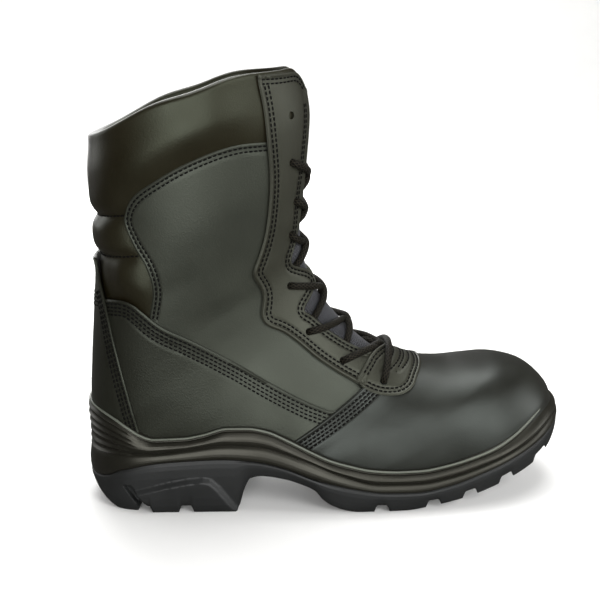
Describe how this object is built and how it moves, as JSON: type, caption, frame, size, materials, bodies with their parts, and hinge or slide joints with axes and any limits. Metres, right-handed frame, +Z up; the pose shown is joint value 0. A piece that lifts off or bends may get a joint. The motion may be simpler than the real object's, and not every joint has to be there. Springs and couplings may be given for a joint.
{
  "type": "safety boot",
  "caption": "Ankle-high lace-up safety boot for the right foot: hollow leather upper with padded collar and bulbous toe, on a cup midsole and a lugged outsole.",
  "frame": {"origin": "on the floor, under the middle of the boot's box", "axes": "+X from heel to toe, +Y to the inner (medial) side, +Z up"},
  "size_m": [0.3076, 0.1112, 0.2679],
  "materials": {
    "leather": "smooth, satin",
    "midsole": "satin moulded polyurethane",
    "outsole": "matte moulded polyurethane",
    "textile": "woven",
    "lace": "round braided cord"
  },
  "bodies": {
    "root": {"outsole": "outsole", "midsole": "midsole", "insole": "textile", "upper": "leather", "tongue": "textile", "eyestay_lateral": "leather", "eyestay_medial": "leather", "throat_tab": "leather", "heel_counter": "leather", "backstay": "leather", "lace_bar": "lace", "lace_cross_1": "lace", "lace_cross_2": "lace", "lace_cross_3": "lace", "lace_cross_4": "lace", "lace_cross_5": "lace", "lace_cross_6": "lace"}
  },
  "joints": []
}
